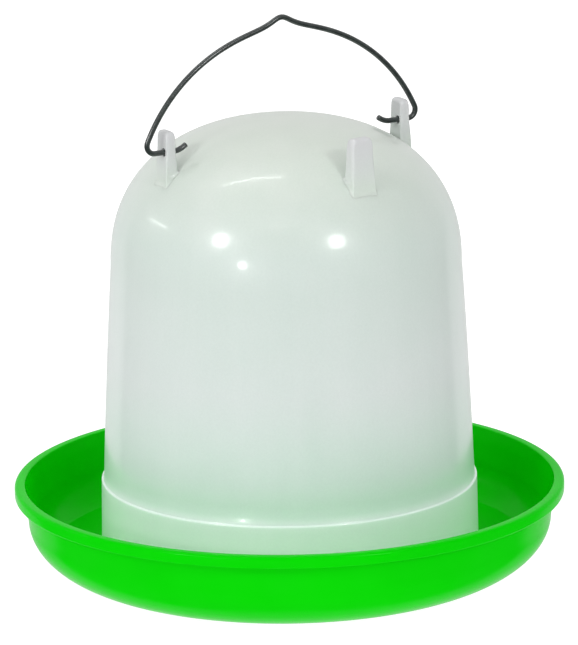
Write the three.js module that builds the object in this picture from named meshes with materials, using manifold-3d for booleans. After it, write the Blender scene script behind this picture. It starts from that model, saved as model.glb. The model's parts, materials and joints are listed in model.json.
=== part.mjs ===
// Poultry drinker: a green tray, a translucent fount that stands in it, and a wire bail.
// Millimetres, +Z up. The origin is the centre of the tray's underside.
import * as THREE from 'three';
import { mergeVertices } from 'three/addons/utils/BufferGeometryUtils.js';
import Module from 'manifold-3d';

const wasm = await Module();
wasm.setup();

// ---- driving dimensions -------------------------------------------------

const GAP = 0.3;                  // clearance between solids that would touch
const RING_STEPS = 56;            // facets round the tray and the fount
const FINE_STEPS = 96;            // facets of the tool that fits the lugs to the crown

// tray
const RIM_RADIUS = 150;           // outside of the rolled rim
const RIM_TOP = 49.6;             // height of the rim above the ground
const RIM_WIDTH = 5.8;            // rim bead, across
const RIM_DEPTH = 8;              // rim bead, up and down
const RIM_UNDERCUT = 1.7;         // rounding of the bead's lower edge
const RIM_INSIDE = 0.6;           // share of the bead's depth that shows inside the tray
const BASE_RADIUS = 106;          // flat underside
const KNUCKLE_TOP = 30;           // where the rounded lower wall becomes straight
const WALL_RADIUS = 143.5;        // outside of the wall at the top of the knuckle
const WALL_FLARE = 0.8;           // how far the wall leans out above the knuckle
const TRAY_SKIN = 2.2;            // plastic thickness
const FLOOR_TOP = 2.4;            // inside face of the floor
const TROUGH_RADIUS = 129.5;      // foot of the wall inside the trough
const TROUGH_RISE = 10;           // height of the floor there
const KNUCKLE_STEPS = 8;
const TROUGH_STEPS = 5;
const BEAD_STEPS = { under: 2, over: 5 };

// centre ring and bayonet hooks, moulded into the tray
const CENTRE_RING_RADIUS = 91;
const CENTRE_RING_SKIN = 2.5;
const CENTRE_RING_TOP = 24;
const CENTRE_RING_CHAMFER = 0.8;
const HOOK_COUNT = 3;
const HOOK_REACH = 6.4;           // how far a hook stands out from the ring
const HOOK_SWEEP = 26;            // degrees of ring that a hook covers
const HOOK_ROOF = [20, 23];       // underside and top of a hook
const HOOK_STOP_SWEEP = 3;        // degrees taken by the stop leg at its far end
const HOOK_START = 12;            // degrees from a tab's middle to the hook's open end
const HOOK_STEPS = { roof: 8, leg: 2 };

// fount: a straight tapered wall, a rounded shoulder and a wider skirt
const WALL_FOOT = { radius: 101.26, height: 47 };
const SHOULDER = { radius: 95, height: 171.4 };
const WALL_BULGE = 0.4;           // barrel shape of the wall at mid height
const CROWN_TOP = 250;
const CROWN_POWER = { across: 2.35, up: 2.25 };   // 2 and 2 would be an ellipse
const FOUNT_SKIN = 2.2;
const SKIRT_BOTTOM = 2.8;
const SKIRT_TOP = 51.9;
const SKIRT_RADIUS = { top: 102.4, bottom: 103.2 };
const SKIRT_BORE = 99.2;          // inside of the skirt
const LEDGE_CHAMFER = { across: 0.5, down: 0.7 };
const OUTSIDE_STEPS = { wall: 5, crown: 12 };
const INSIDE_STEPS = { wall: 4, crown: 10 };
const OUTLET = { width: 16, top: 17, turns: [90, 210, 330] };
const OUTLET_CUT = { deep: 12, below: 4 };       // the cutter, through the wall and past its lower edge

// bayonet tabs inside the skirt
const TAB_SWEEP = 14;             // degrees
const TAB_REACH = 5.5;
const TAB_HEIGHTS = [15, 18.5];
const TAB_TURNS = [30, 150, 270]; // azimuths, degrees
const TAB_STEPS = 4;

// lugs on the crown
const LUG_RADIUS = 72.6;          // middle of a lug, from the fount's axis
const LUG_TOP = 252.6;
const LUG_FOOT = 216;             // below the crown's surface, before the cut
const LUG_THICK = { top: 5.2, bottom: 8 };        // along the radius
const LUG_WIDE = { top: 11, bottom: 13 };         // across the radius
const LUG_CHAMFER = 2.2;
const LUG_BLANK = 30;             // depth of the two plates whose common part is a lug
const DRILL_LENGTH = 40;
const DRILL_SIDES = 16;
const FIT_STEPS = 28;             // points along the crown line of the tool that fits the lugs
const BAIL_AZIMUTH = 30;          // of the line through the two pierced lugs
const FOOT_LUG_AZIMUTH = 303;

// wire bail
const WIRE_RADIUS = 1.5;
const HOLE_RADIUS = 2.25;
const PIVOT_HEIGHT = 241.5;
const PIVOT_OFFSET = 2.5;         // the pivot line passes this far in front of the axis
const BAIL_SHIFT = -2.4;          // the loose wire has slid this far along its holes
const ARCH_RADIUS = 91.5;
const ARCH_DROP = 32.6;           // centre of the arch below the pivot
const HOOK_BEND = 4.5;            // radius of the bend outside each lug
const KINK_RISE = 6;              // centring kink at the top of the arch
const KINK_HALF = 8;              // how far from the top the kink has fallen to half
const TAIL_END = 59.8;            // end of the wire, from the bail's middle
const TAIL_START = 67;            // where the wire starts to turn up
const TAIL_RISE = 2.6;            // height of the turned-up end above the pivot line
const WIRE_SIDES = 10;
const BAIL_STEPS = 180;           // rings along the whole wire
const ARCH_STEPS = 36;            // points along half of the arch
const BEND_STEPS = 10;
const TAIL_STEPS = 4;

// ---- materials ----------------------------------------------------------

const greenPlastic = () => new THREE.MeshStandardMaterial({
  color: 0x12c800, roughness: 0.35, metalness: 0 });
const milkyPlastic = () => new THREE.MeshStandardMaterial({
  color: 0xd6ddd6, roughness: 0.4, metalness: 0 });
const darkWire = () => new THREE.MeshStandardMaterial({
  color: 0x3a4442, roughness: 0.45, metalness: 0.9 });

// ---- helpers ------------------------------------------------------------

const rad = THREE.MathUtils.degToRad;

// A closed profile of [radius, height] pairs, spun round the Z axis.
function spin(profile, steps = RING_STEPS) {
  const points = profile.map(([radius, height]) => new THREE.Vector2(radius, height));
  const onAxis = points[0].x === 0 && points[points.length - 1].x === 0;
  if (!onAxis) points.push(points[0].clone());
  const geometry = new THREE.LatheGeometry(points, steps);
  geometry.rotateX(Math.PI / 2);
  return geometry;
}

function toSolid(geometry) {
  const bare = geometry.clone();
  bare.deleteAttribute('normal');
  bare.deleteAttribute('uv');
  const merged = mergeVertices(bare, 1e-4);
  const solid = new wasm.Manifold(new wasm.Mesh({
    numProp: 3,
    vertProperties: new Float32Array(merged.attributes.position.array),
    triVerts: new Uint32Array(merged.index.array),
  }));
  return solid;
}

function toGeometry(solid) {
  const mesh = solid.getMesh();
  const geometry = new THREE.BufferGeometry();
  geometry.setAttribute('position', new THREE.BufferAttribute(mesh.vertProperties, 3));
  geometry.setIndex(new THREE.BufferAttribute(mesh.triVerts, 1));
  geometry.computeVertexNormals();
  return geometry;
}

function piece(name, geometry, material) {
  const mesh = new THREE.Mesh(geometry, material);
  mesh.name = name;
  return mesh;
}

// A block that follows the ring: [inner, outer] radius, [low, high] height, from..to degrees.
function ringBlock([inner, outer], [low, high], from, to, steps) {
  const shape = new THREE.Shape();
  shape.absarc(0, 0, outer, rad(from), rad(to), false);
  shape.absarc(0, 0, inner, rad(to), rad(from), true);
  shape.closePath();
  const geometry = new THREE.ExtrudeGeometry(shape, {
    depth: high - low, bevelEnabled: false, curveSegments: steps });
  geometry.translate(0, 0, low);
  return geometry;
}

// ---- tray ---------------------------------------------------------------

// Points of a quarter ellipse from its lowest point to its outermost point.
function quarter(centre, across, up, steps) {
  const points = [];
  for (let i = 0; i <= steps; i += 1) {
    const angle = (Math.PI / 2) * (i / steps);
    points.push([centre[0] + across * Math.sin(angle), centre[1] - up * Math.cos(angle)]);
  }
  return points;
}

// The rolled rim's section: a rounded block from its lower inside corner to its upper inside corner.
function rimSection() {
  const round = RIM_WIDTH / 2;
  const middle = RIM_RADIUS - round;
  const low = RIM_TOP - RIM_DEPTH;
  const points = [];
  for (let i = 0; i <= BEAD_STEPS.under; i += 1) {
    const angle = (Math.PI / 2) * (i / BEAD_STEPS.under - 1);
    points.push([middle + round * Math.cos(angle), low + RIM_UNDERCUT * (1 + Math.sin(angle))]);
  }
  for (let i = 0; i <= BEAD_STEPS.over; i += 1) {
    const angle = Math.PI * (i / BEAD_STEPS.over);
    points.push([middle + round * Math.cos(angle), RIM_TOP - round + round * Math.sin(angle)]);
  }
  return points;
}

function trayPan() {
  const knuckle = [WALL_RADIUS - BASE_RADIUS, KNUCKLE_TOP];
  const outside = quarter([BASE_RADIUS, KNUCKLE_TOP], knuckle[0], knuckle[1],
    KNUCKLE_STEPS);
  const underRim = [WALL_RADIUS + WALL_FLARE, RIM_TOP - RIM_DEPTH];
  const insideTop = [underRim[0] - TRAY_SKIN, RIM_TOP - RIM_DEPTH * RIM_INSIDE];
  const wallFoot = [WALL_RADIUS - TRAY_SKIN, KNUCKLE_TOP];
  const inside = quarter([TROUGH_RADIUS, KNUCKLE_TOP], wallFoot[0] - TROUGH_RADIUS,
    KNUCKLE_TOP - TROUGH_RISE, TROUGH_STEPS).reverse();
  const profile = [
    [0, 0],
    ...outside,
    underRim,
    ...rimSection(),
    insideTop,
    ...inside,
    [BASE_RADIUS - TRAY_SKIN, FLOOR_TOP],
    [0, FLOOR_TOP],
  ];
  return piece('tray_pan', spin(profile), greenPlastic());
}

function centreRing() {
  const inner = CENTRE_RING_RADIUS - CENTRE_RING_SKIN;
  const low = FLOOR_TOP + GAP;
  const profile = [
    [CENTRE_RING_RADIUS, low],
    [CENTRE_RING_RADIUS, CENTRE_RING_TOP - CENTRE_RING_CHAMFER],
    [CENTRE_RING_RADIUS - CENTRE_RING_CHAMFER, CENTRE_RING_TOP],
    [inner + CENTRE_RING_CHAMFER, CENTRE_RING_TOP],
    [inner, CENTRE_RING_TOP - CENTRE_RING_CHAMFER],
    [inner, low],
  ];
  return piece('tray_centre_ring', spin(profile), greenPlastic());
}

// An upside-down L: a roof that a tab slides under and a leg that stops it.
function bayonetHook(number, azimuth) {
  const reach = [CENTRE_RING_RADIUS + GAP, CENTRE_RING_RADIUS + HOOK_REACH];
  const end = HOOK_START + HOOK_SWEEP;
  const roof = toSolid(ringBlock(reach, HOOK_ROOF, HOOK_START, end, HOOK_STEPS.roof));
  const leg = toSolid(ringBlock(reach, [FLOOR_TOP + GAP, HOOK_ROOF[1]],
    end - HOOK_STOP_SWEEP, end, HOOK_STEPS.leg));
  const hook = piece(`bayonet_hook_${number}`, toGeometry(roof.add(leg)), greenPlastic());
  hook.rotation.z = rad(azimuth);
  return hook;
}

// ---- fount --------------------------------------------------------------

function wallRadius(height) {
  const u = (height - WALL_FOOT.height) / (SHOULDER.height - WALL_FOOT.height);
  return WALL_FOOT.radius + (SHOULDER.radius - WALL_FOOT.radius) * u + WALL_BULGE * 4 * u * (1 - u);
}

// The fount's outer line from its ledge to its top, moved in by a given distance.
function crownLine(inset, steps) {
  const points = [];
  for (let i = 0; i < steps.wall; i += 1) {
    const height = SKIRT_TOP + ((SHOULDER.height - SKIRT_TOP) * i) / steps.wall;
    points.push([wallRadius(height) - inset, height]);
  }
  const across = SHOULDER.radius - inset;
  const up = CROWN_TOP - SHOULDER.height - inset;
  for (let i = 0; i <= steps.crown; i += 1) {
    const angle = (Math.PI / 2) * (i / steps.crown);
    const radius = across * Math.max(0, Math.cos(angle)) ** (2 / CROWN_POWER.across);
    const height = SHOULDER.height + up * Math.sin(angle) ** (2 / CROWN_POWER.up);
    points.push([i === steps.crown ? 0 : radius, height]);
  }
  return points;
}

function outletCutter(azimuth) {
  const height = OUTLET.top - SKIRT_BOTTOM + OUTLET_CUT.below;
  const box = new THREE.BoxGeometry(OUTLET_CUT.deep, OUTLET.width, height);
  box.translate(SKIRT_BORE, 0, OUTLET.top - height / 2);
  box.rotateZ(rad(azimuth));
  return toSolid(box);
}

function fountShell() {
  const outside = [
    [SKIRT_BORE, SKIRT_BOTTOM],
    [SKIRT_RADIUS.bottom, SKIRT_BOTTOM],
    [SKIRT_RADIUS.top, SKIRT_TOP - LEDGE_CHAMFER.down],
    [SKIRT_RADIUS.top - LEDGE_CHAMFER.across, SKIRT_TOP],
    ...crownLine(0, OUTSIDE_STEPS),
  ];
  const inside = crownLine(FOUNT_SKIN, INSIDE_STEPS).reverse();
  let shell = toSolid(spin([...outside, ...inside]));
  for (const azimuth of OUTLET.turns) shell = shell.subtract(outletCutter(azimuth));
  return piece('fount_shell', toGeometry(shell), milkyPlastic());
}

function bayonetTab(number, azimuth) {
  const geometry = ringBlock([SKIRT_BORE - GAP - TAB_REACH, SKIRT_BORE - GAP], TAB_HEIGHTS,
    -TAB_SWEEP / 2, TAB_SWEEP / 2, TAB_STEPS);
  const tab = piece(`bayonet_tab_${number}`, geometry, milkyPlastic());
  tab.rotation.z = rad(azimuth);
  return tab;
}

// A block that narrows upwards and has its two top corners cut, thick millimetres deep in Y.
function taperedPlate(bottom, top, deep) {
  const shape = new THREE.Shape([
    new THREE.Vector2(-bottom / 2, LUG_FOOT),
    new THREE.Vector2(bottom / 2, LUG_FOOT),
    new THREE.Vector2(top / 2, LUG_TOP - LUG_CHAMFER),
    new THREE.Vector2(top / 2 - LUG_CHAMFER, LUG_TOP),
    new THREE.Vector2(-top / 2 + LUG_CHAMFER, LUG_TOP),
    new THREE.Vector2(-top / 2, LUG_TOP - LUG_CHAMFER),
  ]);
  const geometry = new THREE.ExtrudeGeometry(shape, { depth: deep, bevelEnabled: false });
  geometry.translate(0, 0, -deep / 2);
  geometry.rotateX(Math.PI / 2);
  return geometry;
}

// The space that the crown fills, grown by the gap, so that a lug sits on it.
function crownSpace() {
  const line = crownLine(-GAP, { wall: OUTSIDE_STEPS.wall, crown: FIT_STEPS });
  return toSolid(spin([[0, SKIRT_TOP], ...line], FINE_STEPS));
}

function lug(name, azimuth, pierced, crown) {
  const thick = taperedPlate(LUG_THICK.bottom, LUG_THICK.top, LUG_BLANK);
  const wide = taperedPlate(LUG_WIDE.bottom, LUG_WIDE.top, LUG_BLANK);
  wide.rotateZ(Math.PI / 2);
  let block = toSolid(thick).intersect(toSolid(wide));
  if (pierced) {
    const drill = new THREE.CylinderGeometry(HOLE_RADIUS, HOLE_RADIUS, DRILL_LENGTH,
      DRILL_SIDES);
    drill.rotateZ(Math.PI / 2);
    drill.translate(0, pierced, PIVOT_HEIGHT);
    block = block.subtract(toSolid(drill));
  }
  block = block.translate([LUG_RADIUS, 0, 0]).rotate([0, 0, azimuth]).subtract(crown);
  return piece(name, toGeometry(block), milkyPlastic());
}

// ---- bail ---------------------------------------------------------------

// Right half of the bail from its top to its tail, as [along the pivot, above the pivot] pairs.
function bailHalf() {
  const points = [];
  const bendAngle = Math.asin((HOOK_BEND + ARCH_DROP) / (ARCH_RADIUS - HOOK_BEND));
  const bendCentre = (ARCH_RADIUS - HOOK_BEND) * Math.cos(bendAngle);
  for (let i = 0; i <= ARCH_STEPS; i += 1) {
    const angle = Math.PI / 2 + (bendAngle - Math.PI / 2) * (i / ARCH_STEPS);
    const along = ARCH_RADIUS * Math.cos(angle);
    const kink = KINK_RISE / (1 + (along / KINK_HALF) ** 2);
    points.push([along, ARCH_RADIUS * Math.sin(angle) - ARCH_DROP + kink]);
  }
  for (let i = 1; i <= BEND_STEPS; i += 1) {
    const angle = bendAngle - (bendAngle + Math.PI / 2) * (i / BEND_STEPS);
    points.push([bendCentre + HOOK_BEND * Math.cos(angle), HOOK_BEND * (1 + Math.sin(angle))]);
  }
  for (let i = 0; i <= TAIL_STEPS; i += 1) {
    const part = i / TAIL_STEPS;
    points.push([TAIL_START + (TAIL_END - TAIL_START) * part, TAIL_RISE * part * part]);
  }
  return points;
}

function bail() {
  const half = bailHalf();
  const mirrored = half.slice(1).map(([along, above]) => [-along, above]).reverse();
  const points = [...mirrored, ...half].map(([along, above]) => new THREE.Vector3(along, 0, above));
  const path = new THREE.CatmullRomCurve3(points, false, 'centripetal');
  const section = [];
  for (let i = 0; i < WIRE_SIDES; i += 1) {
    const angle = (2 * Math.PI * i) / WIRE_SIDES;
    section.push(new THREE.Vector2(WIRE_RADIUS * Math.cos(angle), WIRE_RADIUS * Math.sin(angle)));
  }
  const geometry = new THREE.ExtrudeGeometry(new THREE.Shape(section), {
    steps: BAIL_STEPS, bevelEnabled: false, extrudePath: path });
  const wire = piece('carrying_bail', geometry, darkWire());
  wire.position.x = BAIL_SHIFT;
  return wire;
}

// ---- assembly -----------------------------------------------------------

const drinker = new THREE.Group();

const tray = new THREE.Group();
tray.add(trayPan(), centreRing());
for (let i = 0; i < HOOK_COUNT; i += 1) tray.add(bayonetHook(i + 1, TAB_TURNS[i]));

const fount = new THREE.Group();
const crown = crownSpace();
fount.add(
  fountShell(),
  lug('bail_lug_left', BAIL_AZIMUTH + 180, PIVOT_OFFSET, crown),
  lug('bail_lug_right', BAIL_AZIMUTH, -PIVOT_OFFSET, crown),
  lug('foot_lug', FOOT_LUG_AZIMUTH, 0, crown),
);
TAB_TURNS.forEach((azimuth, i) => fount.add(bayonetTab(i + 1, azimuth)));

const pivot = new THREE.Group();
pivot.rotation.z = rad(BAIL_AZIMUTH);
const pivotLine = new THREE.Group();
pivotLine.position.set(0, -PIVOT_OFFSET, PIVOT_HEIGHT);
pivotLine.add(bail());
pivot.add(pivotLine);

drinker.add(tray, fount, pivot);

export default drinker;
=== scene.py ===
# %% [markdown]
# # A poultry drinker: two mouldings and a bent wire
#
# A drinker for hens is a milky plastic fount standing upside down in a bright green tray. A wire bail
# through two lugs on its crown carries it. The frame below brings in the working model: its sizes, its
# bodies and its joints. This lesson gives each piece its finished surface and its material, and leaves
# every size where the frame says it is.

# %% Load the frame
import json
import math

import bpy
import numpy as np
from mathutils import Matrix, Vector


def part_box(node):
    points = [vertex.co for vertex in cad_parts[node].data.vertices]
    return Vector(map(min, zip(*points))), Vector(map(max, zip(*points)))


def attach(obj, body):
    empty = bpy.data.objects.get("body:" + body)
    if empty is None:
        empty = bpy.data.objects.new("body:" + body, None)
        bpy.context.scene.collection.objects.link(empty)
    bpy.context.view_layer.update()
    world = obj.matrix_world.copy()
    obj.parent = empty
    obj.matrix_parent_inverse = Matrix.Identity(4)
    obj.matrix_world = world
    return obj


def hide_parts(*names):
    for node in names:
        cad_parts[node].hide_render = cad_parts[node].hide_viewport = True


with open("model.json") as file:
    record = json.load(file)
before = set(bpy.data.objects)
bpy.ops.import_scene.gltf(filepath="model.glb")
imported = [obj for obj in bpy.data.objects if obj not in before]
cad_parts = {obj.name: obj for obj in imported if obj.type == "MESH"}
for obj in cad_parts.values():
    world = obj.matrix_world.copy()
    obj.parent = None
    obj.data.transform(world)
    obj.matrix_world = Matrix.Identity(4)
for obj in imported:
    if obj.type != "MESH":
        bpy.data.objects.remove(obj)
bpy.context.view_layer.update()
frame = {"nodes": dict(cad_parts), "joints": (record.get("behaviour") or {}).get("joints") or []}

MM = 0.001

# %% [markdown]
# ## Sizes
#
# The outer sizes are read from the frame, so that a change in the working model carries through. Sizes
# that a box can't give, such as a wall's thickness, are named once, in millimetres, beside the piece that
# first needs them. Writing every size as a number in each function would be quicker, but then two pieces
# that must meet would drift apart at the first change.

# %% Sizes
def reach(node):
    """The largest distance of a node's box from the Z axis along X, and its top, in millimetres."""
    low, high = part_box(node)
    return high.x / MM, high.z / MM


RIM_RADIUS, RIM_TOP = reach("tray_pan")
SKIRT_RADIUS, CROWN_TOP = reach("fount_shell")
RING_RADIUS, RING_TOP = reach("tray_centre_ring")
SKIRT_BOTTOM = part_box("fount_shell")[0].z / MM

print("tray radius and height:", round(RIM_RADIUS, 1), round(RIM_TOP, 1))
print("fount radius and top:", round(SKIRT_RADIUS, 1), round(CROWN_TOP, 1))

# %% [markdown]
# ## Surfaces from arrays
#
# Every new piece is a grid of points: one direction runs along a profile, the other runs round an axis or
# along a path. A grid could be drawn with Blender's own tools, such as Spin or Screw. Working it out with
# numpy keeps the formula in sight, and joining neighbours into faces is the same small sum for every
# piece. A direction that comes back to its start is wrapped, and an open end is closed with one point.

# %% Faces of a grid
def grid_quads(rows, columns, wrap_rows, wrap_columns):
    """Corner numbers of every four-sided face of a rows by columns grid; a wrapped direction also joins
    its last line to its first."""
    i = np.arange(rows if wrap_rows else rows - 1)
    j = np.arange(columns if wrap_columns else columns - 1)
    i, j = np.meshgrid(i, j, indexing="ij")
    i2, j2 = (i + 1) % rows, (j + 1) % columns
    corners = (i * columns + j, i * columns + j2, i2 * columns + j2, i2 * columns + j)
    return np.stack(corners, axis=-1).reshape(-1, 4)


def fan(ring, pole, flip):
    """Triangles that close a ring of point numbers onto one pole point."""
    nxt = np.roll(ring, -1)
    middle = np.full_like(ring, pole)
    order = (nxt, ring, middle) if flip else (ring, nxt, middle)
    return np.stack(order, axis=-1)


# %% Mesh from a grid
def grid_piece(name, points, wrap_rows=False, poles=(None, None), sharp=35.0):
    """A mesh object from a rows x columns x 3 array in millimetres. Columns wrap. A pole given for the
    first or last row closes that row onto one point. Faces are smooth except across sharp edges."""
    rows, columns = points.shape[:2]
    verts = points.reshape(-1, 3)
    quads = grid_quads(rows, columns, wrap_rows, True)
    faces = quads.tolist()
    numbers = np.arange(columns)
    if poles[0] is not None:
        verts = np.vstack([verts, poles[0]])
        faces += fan(numbers, len(verts) - 1, True).tolist()
    if poles[1] is not None:
        verts = np.vstack([verts, poles[1]])
        faces += fan(numbers + (rows - 1) * columns, len(verts) - 1, False).tolist()
    mesh = bpy.data.meshes.new(name)
    mesh.from_pydata((verts * MM).tolist(), [], faces)
    mesh.validate()
    mesh.polygons.foreach_set("use_smooth", np.ones(len(mesh.polygons), bool))
    mesh.set_sharp_from_angle(angle=math.radians(sharp))
    piece = bpy.data.objects.new(name, mesh)
    bpy.context.scene.collection.objects.link(piece)
    print(f"{name}: {len(verts)} points, {len(faces)} faces")
    return piece


# %% Profile helpers
def spun(line, columns):
    """A profile of (radius, height) pairs carried once round the Z axis: x and y are the radius times
    the cosine and sine of the angle."""
    line = np.asarray(line, float)
    angle = np.arange(columns) * (2 * np.pi / columns)
    x = line[:, :1] * np.cos(angle)
    y = line[:, :1] * np.sin(angle)
    z = np.repeat(line[:, 1:], columns, axis=1)
    return np.stack([x, y, z], axis=-1)


def arc(centre, across, up, start, end, steps):
    """Points on an ellipse round a centre, from one angle to another in degrees."""
    angle = np.radians(np.linspace(start, end, steps))
    return np.stack([centre[0] + across * np.cos(angle), centre[1] + up * np.sin(angle)], axis=-1)


def straight(start, end, steps):
    """Evenly spaced points between two (radius, height) pairs, without the two ends."""
    share = np.linspace(0, 1, steps + 2)[1:-1, None]
    return np.array(start) * (1 - share) + np.array(end) * share


# %% [markdown]
# ## Finishes
#
# Three finishes cover the drinker: milky polythene that lets light through, glossy green polypropylene,
# and dark drawn wire. Each could be one flat colour, but moulded plastic is never quite even: it clouds,
# it carries faint flow lines from the mould, and handling dulls it in patches. So each finish adds noise
# at the scale where the real thing shows it, on Object coordinates, to colour, roughness and bump. The
# helpers below make that noise once for all three.

# %% Noise helpers
NOISE_LOW, NOISE_HIGH = 0.3, 0.7


def new_material(name):
    """An empty node material and its Principled shader."""
    material = bpy.data.materials.new(name)
    material.use_nodes = True
    shader = material.node_tree.nodes["Principled BSDF"]
    return material, material.node_tree, shader


def object_noise(tree, scale, detail=3.0, stretch=(1.0, 1.0, 1.0)):
    """Noise on Object coordinates, with scale in cells per metre; stretch below 1 draws it out."""
    place = tree.nodes.new("ShaderNodeTexCoord")
    mapping = tree.nodes.new("ShaderNodeMapping")
    mapping.inputs["Scale"].default_value = stretch
    noise = tree.nodes.new("ShaderNodeTexNoise")
    noise.inputs["Scale"].default_value = scale
    noise.inputs["Detail"].default_value = detail
    tree.links.new(place.outputs["Object"], mapping.inputs["Vector"])
    tree.links.new(mapping.outputs["Vector"], noise.inputs["Vector"])
    return noise.outputs["Fac"]


# %% Colour and bump helpers
def ramp(tree, value, stops):
    """A colour ramp over a value: stops are (position, colour) pairs."""
    node = tree.nodes.new("ShaderNodeValToRGB")
    while len(node.color_ramp.elements) < len(stops):
        node.color_ramp.elements.new(0.5)
    for element, (position, colour) in zip(node.color_ramp.elements, stops):
        element.position = position
        element.color = (*colour, 1.0)
    tree.links.new(value, node.inputs["Fac"])
    return node.outputs["Color"]


def span(tree, value, low, high):
    """A noise value, which mostly lies between its two usual ends, mapped onto low to high."""
    node = tree.nodes.new("ShaderNodeMapRange")
    node.inputs["From Min"].default_value = NOISE_LOW
    node.inputs["From Max"].default_value = NOISE_HIGH
    node.inputs["To Min"].default_value = low
    node.inputs["To Max"].default_value = high
    tree.links.new(value, node.inputs["Value"])
    return node.outputs["Result"]


def bumped(tree, shader, layers):
    """Bump layers of (height value, depth in metres), one feeding the next."""
    below = None
    for height, depth in layers:
        node = tree.nodes.new("ShaderNodeBump")
        node.inputs["Strength"].default_value = 1.0
        node.inputs["Distance"].default_value = depth
        tree.links.new(height, node.inputs["Height"])
        if below is not None:
            tree.links.new(below, node.inputs["Normal"])
        below = node.outputs["Normal"]
    tree.links.new(below, shader.inputs["Normal"])


# %% [markdown]
# ## Milky polythene
#
# The fount is natural polythene, a couple of millimetres thick. It is neither clear nor solid white: light
# soaks in, wanders, and comes out elsewhere, and near the tray it brings some green with it. Rough
# transmission could give the milk, but it is grainy and slow. Subsurface scattering gives the same soft
# wall. Under it, a colour that follows height paints in light and shade: brighter and greener low down as
# painted green light from the tray, and darker on the crown as painted shade. A faint glow low down is
# painted light that stands for the light inside.

# %% Milky polythene with painted light and shade by height
# Each stop is a share of the colour's top height, in metres, and the colour there.
COLOUR_TOP = 0.25
# Painted light and shade: the skirt is brightest and the lower wall greenest, as painted green light from
# the tray. The slope of the crown is darkest, as painted shade.
FOUNT_PAINTED_LIGHT_BY_HEIGHT = (
    (0.0, (0.76, 0.825, 0.79)),
    (0.205, (0.76, 0.825, 0.79)),
    (0.225, (0.68, 0.785, 0.72)),
    (0.30, (0.70, 0.78, 0.745)),
    (0.48, (0.71, 0.745, 0.74)),
    (0.78, (0.635, 0.70, 0.665)),
    (1.0, (0.70, 0.745, 0.685)),
)
# Painted glow: emission on the skirt and lower wall, where there is no lamp, standing for light that comes
# down inside the fount.
PAINTED_GLOW_BY_HEIGHT = (
    (0.0, (0.11, 0.14, 0.13)),
    (0.205, (0.10, 0.14, 0.125)),
    (0.225, (0.02, 0.07, 0.045)),
    (0.30, (0.0, 0.015, 0.01)),
    (0.45, (0.0, 0.0, 0.0)),
)


def height_share(tree):
    """Height on Object coordinates as a share of the colour's top height."""
    place = tree.nodes.new("ShaderNodeTexCoord")
    parts = tree.nodes.new("ShaderNodeSeparateXYZ")
    share = tree.nodes.new("ShaderNodeMapRange")
    share.inputs["From Max"].default_value = COLOUR_TOP
    tree.links.new(place.outputs["Object"], parts.inputs["Vector"])
    tree.links.new(parts.outputs["Z"], share.inputs["Value"])
    return share.outputs["Result"]


# %% Milky polythene
def tinted(tree, base, tint, amount):
    """A colour multiplied towards a tint by a value between 0 and 1."""
    mix = tree.nodes.new("ShaderNodeMix")
    mix.data_type = "RGBA"
    mix.blend_type = "MULTIPLY"
    tree.links.new(amount, mix.inputs["Factor"])
    tree.links.new(base, mix.inputs["A"])
    mix.inputs["B"].default_value = (*tint, 1.0)
    return mix.outputs["Result"]


def milky_polythene_painted_light(name, stops, glow, soak):
    """Natural polythene: light soaks a few millimetres in, so a thin wall glows with what is behind it.
    Its colour follows height by the stops given, and these carry painted light and shade. On the fount, the
    brighter, greener colour near the tray is painted green light from it, and the darker crown is painted
    shade. The glow is painted light: an emission standing for light that has come down inside the fount and
    leaves through the lower wall. Soak is in metres."""
    material, tree, shader = new_material(name)
    cloud = object_noise(tree, 14.0, 4.0)
    flow = object_noise(tree, 70.0, 3.0, stretch=(1.0, 1.0, 0.08))
    grain = object_noise(tree, 900.0, 2.0)
    colour = ramp(tree, height_share(tree), stops)
    colour = tinted(tree, colour, (0.955, 0.975, 0.96), span(tree, cloud, 0.0, 1.0))
    colour = tinted(tree, colour, (0.975, 0.985, 0.98), span(tree, flow, 0.0, 1.0))
    colour = tinted(tree, colour, (0.97, 0.97, 0.97), span(tree, grain, 0.0, 1.0))
    tree.links.new(colour, shader.inputs["Base Color"])
    tree.links.new(span(tree, cloud, 0.285, 0.32), shader.inputs["Roughness"])
    shader.inputs["Coat Weight"].default_value = 0.35
    shader.inputs["Coat Roughness"].default_value = 0.09
    # Painted light: the lower wall glows by its own emission.
    if glow:
        tree.links.new(ramp(tree, height_share(tree), glow), shader.inputs["Emission Color"])
        shader.inputs["Emission Strength"].default_value = 1.0
    shader.inputs["Subsurface Weight"].default_value = 1.0
    shader.inputs["Subsurface Radius"].default_value = (1.0, 1.0, 1.0)
    shader.inputs["Subsurface Scale"].default_value = soak
    shader.inputs["IOR"].default_value = 1.5
    bumped(tree, shader, [(flow, 0.00002), (grain, 0.000002)])
    return material


# %% [markdown]
# ## Green polypropylene
#
# The tray is coloured right through, so it needs no layers: one deep green with a moulded gloss. A coat
# could give the gloss, but this plastic has no separate skin, and its own roughness, uneven where it has
# been scuffed, is enough. Its mirror strength is kept low, because a white studio in the gloss would wash
# the green out.

# %% Green polypropylene
GREEN_DEEP, GREEN_FULL = (0.0010, 0.575, 0.0003), (0.0014, 0.61, 0.0004)


def green_polypropylene():
    """Pigmented polypropylene: full colour right through, with a soft moulded gloss."""
    material, tree, shader = new_material("green_polypropylene")
    cloud = object_noise(tree, 20.0, 3.0)
    peel = object_noise(tree, 380.0, 2.0)
    scuff = object_noise(tree, 45.0, 6.0)
    colour = ramp(tree, cloud, [(NOISE_LOW, GREEN_DEEP), (NOISE_HIGH, GREEN_FULL)])
    tree.links.new(colour, shader.inputs["Base Color"])
    tree.links.new(span(tree, scuff, 0.16, 0.24), shader.inputs["Roughness"])
    shader.inputs["Specular IOR Level"].default_value = 0.04
    bumped(tree, shader, [(cloud, 0.00001), (peel, 0.000004)])
    return material


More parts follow.
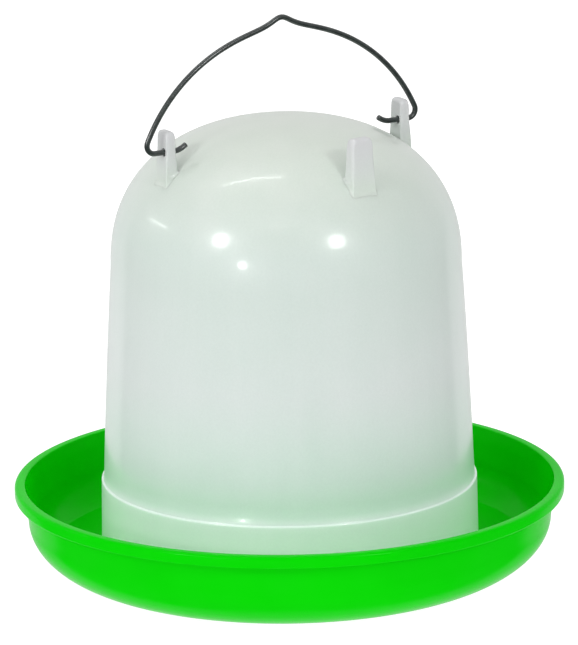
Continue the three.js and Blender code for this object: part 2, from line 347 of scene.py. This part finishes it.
# %% [markdown]
# ## Dark drawn wire
#
# The bail is steel wire, drawn through a die and left with a dark oiled skin. A metal shader could be used,
# but it is the skin that shows, so the base is a nearly black, unmetallic colour under a thin coat. Noise
# rubs it a little brighter in places, as hands and lugs do.

# %% Dark drawn wire
def drawn_wire():
    """Steel wire with a dark oiled skin, rubbed brighter where it has been handled."""
    material, tree, shader = new_material("drawn_wire")
    rubbed = object_noise(tree, 260.0, 5.0)
    pits = object_noise(tree, 1400.0, 3.0)
    colour = ramp(tree, rubbed, [(0.35, (0.012, 0.018, 0.017)), (0.7, (0.03, 0.04, 0.037))])
    tree.links.new(colour, shader.inputs["Base Color"])
    tree.links.new(span(tree, rubbed, 0.36, 0.285), shader.inputs["Roughness"])
    shader.inputs["Coat Weight"].default_value = 0.7
    shader.inputs["Coat Roughness"].default_value = 0.18
    bumped(tree, shader, [(rubbed, 0.00004), (pits, 0.00001)])
    return material


# %% This drinker's finishes
# The lugs' colour by height carries painted light and shade. At the foot it is the fount's colour there,
# with its painted green light. It grows darker towards the top as a painted shade.
LUG_PAINTED_SHADE_BY_HEIGHT = ((0.90, (0.68, 0.73, 0.68)), (0.945, (0.67, 0.69, 0.68)), (1.0, (0.66, 0.655, 0.67)))
MILKY_PAINTED_LIGHT = milky_polythene_painted_light("milky_polythene_painted_light", FOUNT_PAINTED_LIGHT_BY_HEIGHT, PAINTED_GLOW_BY_HEIGHT, 0.002)
LUG_FINISH_PAINTED_SHADE = milky_polythene_painted_light("milky_lug_polythene_painted_shade", LUG_PAINTED_SHADE_BY_HEIGHT, None, 0.0008)
GREEN = green_polypropylene()
WIRE = drawn_wire()
print("finishes:", MILKY_PAINTED_LIGHT.name, LUG_FINISH_PAINTED_SHADE.name, GREEN.name, WIRE.name)

# %% [markdown]
# ## Putting a piece in place
#
# A finished piece gets its material, rides on its body, and hides the working solids it stands for. These
# could be a few lines beside each piece. Doing them all in one call means that none can be forgotten.

# %% Finish a piece
def finish_piece(piece, material, body, replaced):
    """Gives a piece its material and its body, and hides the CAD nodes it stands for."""
    piece.data.materials.clear()
    piece.data.materials.append(material)
    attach(piece, body)
    if replaced:
        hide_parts(*replaced)


# %% [markdown]
# ## The tray
#
# The tray is one moulding, so its whole section is one closed line: out along the flat underside, round
# the knuckle, up the wall, over the flat-topped rim, back down inside, up and over the centre ring, and in
# to the axis. It could be built as separate rings, but a single line has no seams, and its rounded corners
# catch the light as the real mould's do.

# %% Tray sizes
TRAY_SKIN = 2.2
FLOOR_TOP = 2.4
BASE_RADIUS = 98.0
FLOOR_RADIUS = 103.8
KNUCKLE_TOP = 30.0
WALL_RADIUS = 142.8
WALL_FLARE = 2.1
RIM_WIDTH = 5.7
RIM_DEPTH = 6.5
RIM_INNER_DEPTH = 5.6
RIM_ROUND_UNDER, RIM_ROUND_OVER, RIM_ROUND_INNER = 1.2, 2.0, 0.7
TROUGH_RISE = 11.8
RING_SKIN = 2.5
RING_EDGE, RING_FILLET = 0.8, 1.5
POLE_GAP = 2.0
print("wall, floor and ring skins, mm:", TRAY_SKIN, FLOOR_TOP, RING_SKIN)


# %% Tray profile
def tray_line():
    """The tray's section from the axis underneath to the axis inside, in (radius, height) pairs."""
    centre = (BASE_RADIUS, KNUCKLE_TOP)
    across = WALL_RADIUS - BASE_RADIUS
    inner_up = KNUCKLE_TOP - TRAY_SKIN
    foot = math.degrees(math.asin((KNUCKLE_TOP - TROUGH_RISE) / inner_up))
    outside = arc(centre, across, KNUCKLE_TOP, -90, 0, 30)
    inside = arc(centre, across - TRAY_SKIN, inner_up, 0, -foot, 30)
    under_rim = (WALL_RADIUS + WALL_FLARE, RIM_TOP - RIM_DEPTH)
    inner_top = (under_rim[0] - TRAY_SKIN, RIM_TOP - RIM_INNER_DEPTH)
    under, over, inner = RIM_ROUND_UNDER, RIM_ROUND_OVER, RIM_ROUND_INNER
    rim_inside = RIM_RADIUS - RIM_WIDTH
    rim_under = arc((RIM_RADIUS - under, under_rim[1] + under), under, under, -90, 0, 7)
    rim_over = arc((RIM_RADIUS - over, RIM_TOP - over), over, over, 0, 90, 10)
    rim_inner = arc((rim_inside + inner, RIM_TOP - inner), inner, inner, 90, 180, 6)
    slope_foot = (FLOOR_RADIUS, FLOOR_TOP)
    slope_head = inside[-1] * 0.98 + np.array(slope_foot) * 0.02
    fillet, edge = RING_FILLET, RING_EDGE
    ring_in = RING_RADIUS - RING_SKIN
    ring_out_foot = arc((RING_RADIUS + fillet, FLOOR_TOP + fillet), fillet, fillet, -90, -180, 6)
    ring_out_top = arc((RING_RADIUS - edge, RING_TOP - edge), edge, edge, 0, 90, 5)
    ring_in_top = arc((ring_in + edge, RING_TOP - edge), edge, edge, 90, 180, 5)
    ring_in_foot = arc((ring_in - fillet, FLOOR_TOP + fillet), fillet, fillet, 0, -90, 6)
    first, last = (POLE_GAP, 0.0), (POLE_GAP, FLOOR_TOP)
    floor = straight((ring_in - fillet, FLOOR_TOP), last, 8)
    under_floor = straight(first, (BASE_RADIUS, 0.0), 6)
    lines = [[first], under_floor, outside, straight(outside[-1], under_rim, 4), [under_rim],
             rim_under, rim_over, rim_inner, [inner_top], straight(inner_top, inside[0], 4), inside,
             [slope_head], straight(slope_head, slope_foot, 4), [slope_foot], ring_out_foot,
             ring_out_top, ring_in_top, ring_in_foot, floor, [last]]
    return np.vstack([np.asarray(part, float) for part in lines])


# %% Tray
TRAY_COLUMNS = 360
tray_section = tray_line()
tray = grid_piece("tray_moulding", spun(tray_section, TRAY_COLUMNS),
                  poles=((0, 0, 0), (0, 0, FLOOR_TOP)), sharp=40)
finish_piece(tray, GREEN, "tray", ["tray_pan", "tray_centre_ring"])

# %% [markdown]
# ## The fount
#
# The fount's wall tapers in a faint barrel curve, then turns over into the crown along a superellipse,
# which is squarer than a circle. Below, a wider skirt makes a small ledge. Three notches in its lower
# edge let the water out. A cutter could make the notches, but the lower edge is already a line round the
# axis, so its height is made a function of the angle and the wall above is stretched to meet it.

# %% Fount sizes
FOUNT_SKIN = 2.2
WALL_FOOT_RADIUS, WALL_FOOT_HEIGHT = 101.26, 47.0
SHOULDER_RADIUS, SHOULDER_HEIGHT = 95.0, 171.4
WALL_BULGE = 0.4
CROWN_ACROSS_POWER, CROWN_UP_POWER = 2.35, 2.25
LEDGE_HEIGHT = 51.9
LEDGE_RADIUS = 102.4
LEDGE_EDGE = 0.9
SKIRT_BORE = 99.2
SKIRT_EDGE = 0.6
OUTLET_SIDE = 1.2
OUTLET_WIDTH, OUTLET_TOP = 16.0, 17.0
OUTLET_AZIMUTHS = (90.0, 210.0, 330.0)
WALL_ROOT = {"up": 0.5, "out": 0.35}
BORE_STEP = {"below": 4.0, "above": 3.0}
print("wall skin, skirt skin, mm:", FOUNT_SKIN, round(SKIRT_RADIUS - SKIRT_BORE, 1))


# %% Fount wall and crown
def wall_radius(height):
    """A cone from the foot to the shoulder plus a parabola that bulges most at mid height."""
    u = (height - WALL_FOOT_HEIGHT) / (SHOULDER_HEIGHT - WALL_FOOT_HEIGHT)
    taper = WALL_FOOT_RADIUS + (SHOULDER_RADIUS - WALL_FOOT_RADIUS) * u
    return taper + 4 * WALL_BULGE * u * (1 - u)


def crown_height(radius):
    """Height of the crown's outer face at a radius: a superellipse, one minus the radius share raised
    to one power, the result raised to one over the other power."""
    share = np.clip(radius / SHOULDER_RADIUS, 0, 1)
    rise = np.maximum(1 - share ** CROWN_ACROSS_POWER, 0) ** (1 / CROWN_UP_POWER)
    return SHOULDER_HEIGHT + (CROWN_TOP - SHOULDER_HEIGHT) * rise


def crown_line(inset, steps):
    """The shoulder and crown as (radius, height) pairs by angle, moved in by inset, without the tip."""
    angle = np.radians(np.linspace(0, 90, steps + 1)[:-1])
    across = SHOULDER_RADIUS - inset
    up = CROWN_TOP - SHOULDER_HEIGHT - inset
    radius = across * np.cos(angle) ** (2 / CROWN_ACROSS_POWER)
    height = SHOULDER_HEIGHT + up * np.sin(angle) ** (2 / CROWN_UP_POWER)
    return np.stack([radius, height], axis=-1)


# %% Fount profile
def fount_line():
    """The fount's section from the crown's outer tip down, round the skirt and back up inside."""
    outer_crown = crown_line(0, 52)[::-1]
    wall_heights = np.linspace(SHOULDER_HEIGHT, LEDGE_HEIGHT + WALL_ROOT["up"], 14)[1:]
    outer_wall = np.stack([wall_radius(wall_heights), wall_heights], axis=-1)
    edge, lip = LEDGE_EDGE, SKIRT_EDGE
    ledge_root = (wall_radius(LEDGE_HEIGHT) + WALL_ROOT["out"], LEDGE_HEIGHT)
    ledge = arc((LEDGE_RADIUS - edge, LEDGE_HEIGHT - edge), edge, edge, 90, 0, 6)
    skirt = straight((LEDGE_RADIUS, LEDGE_HEIGHT - edge), (SKIRT_RADIUS, SKIRT_BOTTOM + lip), 14)
    lower_out = arc((SKIRT_RADIUS - lip, SKIRT_BOTTOM + lip), lip, lip, 0, -90, 4)
    lower_in = arc((SKIRT_BORE + lip, SKIRT_BOTTOM + lip), lip, lip, -90, -180, 4)
    bore = straight((SKIRT_BORE, SKIRT_BOTTOM + lip), (SKIRT_BORE, LEDGE_HEIGHT - BORE_STEP["below"]), 14)
    inner_heights = np.linspace(LEDGE_HEIGHT + BORE_STEP["above"], SHOULDER_HEIGHT, 12)[:-1]
    inner_wall = np.stack([wall_radius(inner_heights) - FOUNT_SKIN, inner_heights], axis=-1)
    inner_crown = crown_line(FOUNT_SKIN, 36)
    return np.vstack([outer_crown, outer_wall, [ledge_root], ledge, skirt, lower_out,
                      lower_in, bore, inner_wall, inner_crown])


# %% Outlet notches
def notch_rise(angle):
    """How far the lower edge is lifted at each angle: the notch's height inside a smooth-sided window
    of the notch's width, and zero elsewhere."""
    rise = np.zeros_like(angle)
    for azimuth in OUTLET_AZIMUTHS:
        turned = (angle - math.radians(azimuth) + np.pi) % (2 * np.pi) - np.pi
        across = np.abs(turned) * SKIRT_RADIUS
        window = np.clip((OUTLET_WIDTH / 2 - across) / OUTLET_SIDE + 0.5, 0, 1)
        rise = np.maximum(rise, window * window * (3 - 2 * window))
    return rise * (OUTLET_TOP - SKIRT_BOTTOM)


# %% Fount
FOUNT_COLUMNS = 400
STRETCH_TOP = 40.0
fount_points = spun(fount_line(), FOUNT_COLUMNS)
turn = np.arange(FOUNT_COLUMNS) * (2 * np.pi / FOUNT_COLUMNS)
height = fount_points[..., 2]
low_share = np.clip((STRETCH_TOP - height) / (STRETCH_TOP - SKIRT_BOTTOM), 0, 1)
fount_points[..., 2] = height + low_share * notch_rise(turn)
fount = grid_piece("fount_moulding", fount_points,
                   poles=((0, 0, CROWN_TOP), (0, 0, CROWN_TOP - FOUNT_SKIN)), sharp=40)
finish_piece(fount, MILKY_PAINTED_LIGHT, "fount", ["fount_shell"])

# %% [markdown]
# ## The lugs
#
# Each lug is a short tapered post, rounded at its corners and blended into the crown with a fillet. Two
# are pierced for the bail. A block with a cutter would leave a hard ring where the hole breaks out, so a
# lug is a grid whose rows run from the hole over one face, round the edge, back over the other face and
# through the hole: a squared-off ring, closed both ways. The plain lug is the same with no hole.

# %% Lug sizes
LUG_RADIUS = 72.6
LUG_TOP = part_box("foot_lug")[1].z / MM
LUG_FOOT = 216.0
LUG_THICK_TOP, LUG_THICK_FOOT = 5.2, 8.0
LUG_WIDE_TOP, LUG_WIDE_FOOT = 11.0, 13.0
LUG_EDGE = 1.8
LUG_FILLET = 1.3
LUG_SQUARENESS = 8.0
LUG_SUNK = 1.0
HOLE_RADIUS = 2.25
PIVOT = next(joint for joint in frame["joints"] if joint["name"] == "bail_swing")
PIVOT_HEIGHT = PIVOT["pos_m"][2] / MM
BAIL_AZIMUTH = math.degrees(math.atan2(PIVOT["axis"][1], PIVOT["axis"][0]))
PIVOT_OFFSET = math.hypot(*PIVOT["pos_m"][:2]) / MM
FOOT_LUG_AZIMUTH = 303.0
PLAIN_GROW = 1.2
PLAIN_CENTRE = 0.4
LUG_FILLET_POWER = 7
LUG_COLUMNS = 160
LUG_FACE_ROWS, LUG_EDGE_ROWS = 36, 6
print("pivot height, azimuth, offset:", round(PIVOT_HEIGHT, 1), round(BAIL_AZIMUTH, 1), PIVOT_OFFSET)


# %% Lug outline
def lug_half(foot, top, height):
    """Half of a lug's size at a height: it narrows evenly from its foot to its top."""
    share = np.clip((height - LUG_FOOT) / (LUG_TOP - LUG_FOOT), 0, 1)
    return (foot + (top - foot) * share) / 2


def lug_outline(count, grow):
    """Points evenly spaced round a lug's outline: a superellipse whose width narrows upwards."""
    turn = np.linspace(0, 2 * np.pi, 4001)
    power = 2 / LUG_SQUARENESS
    half_height = (LUG_TOP - LUG_FOOT) / 2
    up = LUG_FOOT + half_height * (1 + np.sign(np.sin(turn)) * np.abs(np.sin(turn)) ** power)
    half_width = grow * lug_half(LUG_WIDE_FOOT, LUG_WIDE_TOP, up)
    across = half_width * np.sign(np.cos(turn)) * np.abs(np.cos(turn)) ** power
    length = np.concatenate([[0], np.cumsum(np.hypot(np.diff(across), np.diff(up)))])
    wanted = np.linspace(0, length[-1], count + 1)[:-1]
    return np.stack([np.interp(wanted, length, across), np.interp(wanted, length, up)], axis=-1)


# %% Fillet into the crown
def blend_into_crown(depth, across, up, grow):
    """Moves points near the crown outwards along a hollow quarter circle, so the lug runs into it. A
    point keeps its height above the crown, and none lies deeper under the crown than the sunk depth."""
    above = up - crown_height(np.hypot(depth + LUG_RADIUS, across))
    low = np.clip(1 - above / LUG_FILLET, 0, 1)
    push = LUG_FILLET * (1 - np.sqrt(1 - low ** 2))
    half_thick = grow * lug_half(LUG_THICK_FOOT, LUG_THICK_TOP, up)
    half_width = grow * lug_half(LUG_WIDE_FOOT, LUG_WIDE_TOP, up)
    towards = np.stack([depth / half_thick, across / half_width], axis=-1)
    towards = np.sign(towards) * np.abs(towards) ** LUG_FILLET_POWER
    towards = towards / np.maximum(np.linalg.norm(towards, axis=-1, keepdims=True), 1e-6)
    depth = depth + push * towards[..., 0]
    across = across + push * towards[..., 1]
    up = crown_height(np.hypot(depth + LUG_RADIUS, across)) + np.maximum(above, -LUG_SUNK)
    return depth, across, up


# %% Lug surface
def lug_points(azimuth, hole_across, hole_radius, grow=1.0):
    """A grid of points for one lug. Columns go round the outline; rows go from the hole over the outer
    face, round the edge and back over the inner face. Grow widens and thickens the lug."""
    outline = lug_outline(LUG_COLUMNS, grow)
    hole = np.array([hole_across, PIVOT_HEIGHT])
    away = outline - hole
    length = np.linalg.norm(away, axis=1)
    away = away / length[:, None]
    face = np.linspace(0, 1, LUG_FACE_ROWS)
    bend = np.radians(np.linspace(0, 90, LUG_EDGE_ROWS + 1))[1:]
    run = np.concatenate([face, np.ones(len(bend))])
    outward = np.concatenate([np.zeros(len(face)), np.sin(bend)])
    down = np.concatenate([np.zeros(len(face)), 1 - np.cos(bend)])
    distance = hole_radius + run[:, None] * (length - LUG_EDGE - hole_radius)
    distance = distance + LUG_EDGE * outward[:, None]
    place = hole + away[None] * distance[..., None]
    across, up = place[..., 0], place[..., 1]
    depth = grow * lug_half(LUG_THICK_FOOT, LUG_THICK_TOP, up) - LUG_EDGE * down[:, None]
    depth = np.concatenate([depth, -depth[::-1]])
    across = np.concatenate([across, across[::-1]])
    up = np.concatenate([up, up[::-1]])
    depth, across, up = blend_into_crown(depth, across, up, grow)
    out = depth + LUG_RADIUS
    angle = math.radians(azimuth)
    x = out * math.cos(angle) - across * math.sin(angle)
    y = out * math.sin(angle) + across * math.cos(angle)
    return np.stack([x, y, up], axis=-1)


# %% Pierced lugs
for name, azimuth, side in (("bail_lug_left", BAIL_AZIMUTH + 180, 1), ("bail_lug_right", BAIL_AZIMUTH, -1)):
    lug = grid_piece(name + "_moulding", lug_points(azimuth, side * PIVOT_OFFSET, HOLE_RADIUS),
                     wrap_rows=True, sharp=40)
    finish_piece(lug, LUG_FINISH_PAINTED_SHADE, "fount", [name])

# %% Plain lug
plain = lug_points(FOOT_LUG_AZIMUTH, 0, PLAIN_CENTRE, PLAIN_GROW)
plain_lug = grid_piece("foot_lug_moulding", plain,
                       poles=(plain[0].mean(axis=0), plain[-1].mean(axis=0)), sharp=40)
finish_piece(plain_lug, LUG_FINISH_PAINTED_SHADE, "fount", ["foot_lug"])

# %% [markdown]
# ## The bail
#
# The bail is one length of wire: a wide arch with a small kink at its top that keeps a hook centred, a
# tight bend outside each lug, and a straight tail through the hole that turns up slightly inside. Its
# line is made of arcs, and a circle is carried along it. A curve object with a round bevel would do as
# well; the sum is short here because the line lies in one plane, so its sideways direction never turns.

# %% Bail sizes
WIRE_RADIUS = 1.5
BAIL_SHIFT = -2.4
ARCH_RADIUS, ARCH_DROP = 91.5, 32.6
HOOK_BEND = 4.5
KINK_RISE, KINK_HALF = 6.0, 8.0
TAIL_START, TAIL_END, TAIL_RISE = 67.0, 59.8, 2.6
END_ROUNDING = (80, 55, 30)
END_LENGTH, END_POLE = 0.35, 0.02
print("wire, mm across:", 2 * WIRE_RADIUS)


# %% Bail line
def bail_half():
    """Half of the bail from its top to its tail, as (along the pivot, above the pivot) pairs."""
    bend_angle = math.asin((HOOK_BEND + ARCH_DROP) / (ARCH_RADIUS - HOOK_BEND))
    bend_centre = (ARCH_RADIUS - HOOK_BEND) * math.cos(bend_angle)
    angle = np.linspace(np.pi / 2, bend_angle, 90)
    along = ARCH_RADIUS * np.cos(angle)
    kink = KINK_RISE / (1 + (along / KINK_HALF) ** 2)
    arch = np.stack([along, ARCH_RADIUS * np.sin(angle) - ARCH_DROP + kink], axis=-1)
    angle = np.linspace(bend_angle, -np.pi / 2, 30)[1:]
    bend = np.stack([bend_centre + HOOK_BEND * np.cos(angle), HOOK_BEND * (1 + np.sin(angle))], axis=-1)
    pin = straight((bend_centre, 0), (TAIL_START, 0), 6)
    share = np.linspace(0, 1, 10)
    tail = np.stack([TAIL_START + (TAIL_END - TAIL_START) * share, TAIL_RISE * share ** 2], axis=-1)
    return np.vstack([arch, bend, pin, tail])


# %% Wire round the line
def tube_points(line, radius, sides):
    """A circle carried along a line in the XZ plane: each ring is the line's point plus the radius times
    the cosine of the turn along the line's normal and the sine along Y. The ends are rounded over."""
    along = np.gradient(line, axis=0)
    along = along / np.linalg.norm(along, axis=1, keepdims=True)
    centre = np.stack([line[:, 0], np.zeros(len(line)), line[:, 1]], axis=-1)
    normal = np.stack([-along[:, 1], np.zeros(len(line)), along[:, 0]], axis=-1)
    forward = np.stack([along[:, 0], np.zeros(len(line)), along[:, 1]], axis=-1)
    side = np.array([0.0, 1.0, 0.0])
    cap = np.radians(np.array(END_ROUNDING))
    size = np.concatenate([np.cos(cap), np.ones(len(line)), np.cos(cap[::-1])]) * radius
    lean = END_LENGTH * radius
    first = centre[0] - forward[0] * lean * np.sin(cap)[:, None]
    last = centre[-1] + forward[-1] * lean * np.sin(cap[::-1])[:, None]
    centre = np.vstack([first, centre, last])
    rings = len(cap)
    normal = np.vstack([np.repeat(normal[:1], rings, axis=0), normal, np.repeat(normal[-1:], rings, axis=0)])
    turn = np.arange(sides) * (2 * np.pi / sides)
    ring = np.cos(turn)[None, :, None] * normal[:, None] + np.sin(turn)[None, :, None] * side
    points = centre[:, None] + size[:, None, None] * ring
    pole = END_POLE * radius
    poles = (centre[0] - forward[0] * pole, centre[-1] + forward[-1] * pole)
    return points, poles


# %% Onto the pivot
def onto_pivot(points):
    """Moves points from the bail's own plane to the pivot line: slide along it, turn to its azimuth."""
    points = np.array(points, float)
    angle = math.radians(BAIL_AZIMUTH)
    along = points[..., 0] + BAIL_SHIFT
    side = points[..., 1] - PIVOT_OFFSET
    x = along * math.cos(angle) - side * math.sin(angle)
    y = along * math.sin(angle) + side * math.cos(angle)
    return np.stack([x, y, points[..., 2] + PIVOT_HEIGHT], axis=-1)


# %% Bail
half = bail_half()
bail_line = np.vstack([(half * [-1, 1])[::-1], half[1:]])
bail_grid, bail_ends = tube_points(bail_line, WIRE_RADIUS, 20)
bail = grid_piece("bail_wire", onto_pivot(bail_grid),
                  poles=tuple(onto_pivot(end) for end in bail_ends), sharp=60)
finish_piece(bail, WIRE, "bail", ["carrying_bail"])
print("wire length, mm:", round(float(np.linalg.norm(np.diff(bail_line, axis=0), axis=1).sum()), 1))

# %% [markdown]
# ## Hidden mouldings
#
# The hooks inside the tray and the tabs inside the skirt are right as the working model has them, so
# those solids stay and only take the finish of the moulding they belong to.

# %% Finish the hidden nodes
for name, node in frame["nodes"].items():
    if name.startswith("bayonet_hook"):
        node.material_slots[0].material = GREEN
    if name.startswith("bayonet_tab"):
        node.material_slots[0].material = MILKY_PAINTED_LIGHT
print("hidden nodes:", [name for name in frame["nodes"] if name.startswith("bayonet")])

# %% [markdown]
# ## The floor
#
# The drinker stands on a plain white floor. A curved paper sheet could stand in for one. A flat floor that
# glows white is simpler: shadows on it stay pale, and it meets the white background without an edge.
# Reflections don't see it, so it can't whiten the gloss of the green.

# %% Floor
FLOOR_HALF = 12.0


def make_floor():
    """A large plain floor, a glowing white so that shadows on it stay pale."""
    mesh = bpy.data.meshes.new("floor")
    half = FLOOR_HALF
    corners = [(-half, -half, 0), (half, -half, 0), (half, half, 0), (-half, half, 0)]
    mesh.from_pydata(corners, [], [(0, 1, 2, 3)])
    floor = bpy.data.objects.new("floor", mesh)
    bpy.context.scene.collection.objects.link(floor)
    floor.visible_glossy = False
    material, tree, shader = new_material("white_floor")
    shader.inputs["Base Color"].default_value = (0.25, 0.25, 0.25, 1)
    shader.inputs["Roughness"].default_value = 0.9
    shader.inputs["Specular IOR Level"].default_value = 0.1
    shader.inputs["Emission Color"].default_value = (1, 1, 1, 1)
    shader.inputs["Emission Strength"].default_value = 1.0
    mesh.materials.append(material)


make_floor()
print("floor, m across:", 2 * FLOOR_HALF)

# %% [markdown]
# ## Room light
#
# Glossy plastic shows the room round it. One big even light would be simplest, but it flattens a white
# object on a white ground until its shape is lost. So the room is made of plain bands, bright behind and
# overhead and dimmer in front, which keeps the green deep and gives the milky wall its pale edges.

# %% Room bands
# How far back, and how high, a direction points where one band of the room turns into the next.
BACKDROP_EDGE = (0.62, 0.66)
CEILING_EDGE = (0.66, 0.80)
HORIZON_EDGE = (-0.12, 0.05)


def stepped(tree, value, start, end):
    """A value turned into zero below start and one above end, with a smooth step between."""
    node = tree.nodes.new("ShaderNodeMapRange")
    node.interpolation_type = "SMOOTHSTEP"
    node.inputs["From Min"].default_value = start
    node.inputs["From Max"].default_value = end
    tree.links.new(value, node.inputs["Value"])
    return node.outputs["Result"]


def mixed(tree, share, first, second):
    """The share of the way from a first value to a second; each is a number or another node's value."""
    node = tree.nodes.new("ShaderNodeMix")
    tree.links.new(share, node.inputs["Factor"])
    for socket, value in (("A", first), ("B", second)):
        if isinstance(value, float):
            node.inputs[socket].default_value = value
        else:
            tree.links.new(value, node.inputs[socket])
    return node.outputs["Result"]


# %% Room light
def make_room(backdrop, around, overhead, table, below):
    """A room in bands: a bright backdrop behind, dimmer walls around, a ceiling overhead, and below the
    horizon the table behind and a dark floor in front. The camera itself sees plain white."""
    world = bpy.data.worlds.new("room")
    bpy.context.scene.world = world
    world.use_nodes = True
    tree = world.node_tree
    place = tree.nodes.new("ShaderNodeTexCoord")
    level = tree.nodes.new("ShaderNodeVectorMath")
    level.operation = "MULTIPLY"
    level.inputs[1].default_value = (1, 1, 0)
    unit = tree.nodes.new("ShaderNodeVectorMath")
    unit.operation = "NORMALIZE"
    tree.links.new(place.outputs["Generated"], level.inputs[0])
    tree.links.new(level.outputs["Vector"], unit.inputs[0])
    flat = tree.nodes.new("ShaderNodeSeparateXYZ")
    tree.links.new(unit.outputs["Vector"], flat.inputs["Vector"])
    parts = tree.nodes.new("ShaderNodeSeparateXYZ")
    tree.links.new(place.outputs["Generated"], parts.inputs["Vector"])
    behind = stepped(tree, flat.outputs["Y"], *BACKDROP_EDGE)
    high = mixed(tree, behind, around, backdrop)
    high = mixed(tree, stepped(tree, parts.outputs["Z"], *CEILING_EDGE), high, overhead)
    low = mixed(tree, behind, below, table)
    light = mixed(tree, stepped(tree, parts.outputs["Z"], *HORIZON_EDGE), low, high)
    room = tree.nodes["Background"]
    tree.links.new(light, room.inputs["Strength"])
    plain = tree.nodes.new("ShaderNodeBackground")
    path = tree.nodes.new("ShaderNodeLightPath")
    choice = tree.nodes.new("ShaderNodeMixShader")
    tree.links.new(path.outputs["Is Camera Ray"], choice.inputs["Fac"])
    tree.links.new(room.outputs["Background"], choice.inputs[1])
    tree.links.new(plain.outputs["Background"], choice.inputs[2])
    tree.links.new(choice.outputs["Shader"], tree.nodes["World Output"].inputs["Surface"])
    room.inputs["Color"].default_value = (1, 1, 1, 1)
    plain.inputs["Color"].default_value = (1, 1, 1, 1)


make_room(backdrop=0.75, around=0.45, overhead=0.85, table=0.75, below=0.05)
print("room:", bpy.context.scene.world.name)

# %% [markdown]
# ## Lamps
#
# Two round lamps high in front and a small one below them leave three highlights on the shoulder, and three
# narrow lamps leave faint streaks. Point lamps could do it, but they leave hard dots. An area lamp leaves a
# soft mark of its own shape, and little power is needed, because the room does the rest.

# %% Lamp helpers
LAMP_TARGET = (0, 0, 0.19)


def soft_lamp(name, place, size, power):
    """A round area lamp at a place in metres, turned to face the fount's shoulder."""
    data = bpy.data.lights.new(name, "AREA")
    data.shape = "DISK"
    data.size = size
    data.energy = power
    lamp = bpy.data.objects.new(name, data)
    lamp.location = place
    lamp.rotation_euler = (Vector(LAMP_TARGET) - Vector(place)).to_track_quat("-Z", "Y").to_euler()
    bpy.context.scene.collection.objects.link(lamp)


def strip_lamp(name, start, end, width, power):
    """A long narrow lamp between two places in metres, its face turned to the shoulder."""
    start, end = Vector(start), Vector(end)
    middle = (start + end) / 2
    along = (end - start).normalized()
    back = middle - Vector(LAMP_TARGET)
    back = (back - along * back.dot(along)).normalized()
    data = bpy.data.lights.new(name, "AREA")
    data.shape = "RECTANGLE"
    data.size = (end - start).length
    data.size_y = width
    data.energy = power
    lamp = bpy.data.objects.new(name, data)
    turn = Matrix((along, back.cross(along), back)).transposed().to_4x4()
    lamp.matrix_world = Matrix.Translation(middle) @ turn
    bpy.context.scene.collection.objects.link(lamp)


# %% Lamps
soft_lamp("left_lamp", (-1.10, -1.05, 0.95), 0.33, 6.0)
soft_lamp("right_lamp", (0.89, -1.24, 0.95), 0.33, 5.5)
soft_lamp("low_lamp", (-0.80, -1.51, 0.47), 0.16, 2.6)
strip_lamp("ceiling_strip", (-0.71, 0.086, 1.5), (0.0, 0.077, 1.5), 0.05, 1.5)
strip_lamp("front_strip", (-0.79, -1.25, 1.4), (0.77, -1.25, 1.4), 0.02, 0.9)
strip_lamp("left_strip", (-1.6, 0.56, 0.7), (-1.67, 0.06, 0.79), 0.05, 1.0)
print("lamps:", [lamp.name for lamp in bpy.data.lights])

# %% [markdown]
# ## Camera
#
# The drinker is seen from a little above. A short lens close by would fill the frame too, but it would
# make the near rim bulge. A long lens from three metres keeps the upright sides nearly parallel. Shift and
# depth of field stay off, so that the camera can be moved to any side.

# %% Camera
CAMERA_PLACE = (0.001, -3.00003, 0.9166)
CAMERA_PITCH = 0.25428
CAMERA_ROLL = -0.0143
FOCAL_LENGTH = 319.1


def make_camera():
    """A long-lens camera looking slightly down, with a very small roll."""
    data = bpy.data.cameras.new("camera")
    data.sensor_width = 36
    data.lens = FOCAL_LENGTH
    data.clip_end = 100
    camera = bpy.data.objects.new("camera", data)
    tilt = Matrix.Rotation(math.pi / 2 - CAMERA_PITCH, 4, "X")
    camera.matrix_world = Matrix.Translation(CAMERA_PLACE) @ tilt @ Matrix.Rotation(CAMERA_ROLL, 4, "Z")
    bpy.context.scene.collection.objects.link(camera)
    bpy.context.scene.camera = camera


make_camera()
bpy.context.scene.view_settings.view_transform = "Standard"
print("lens, mm:", FOCAL_LENGTH)
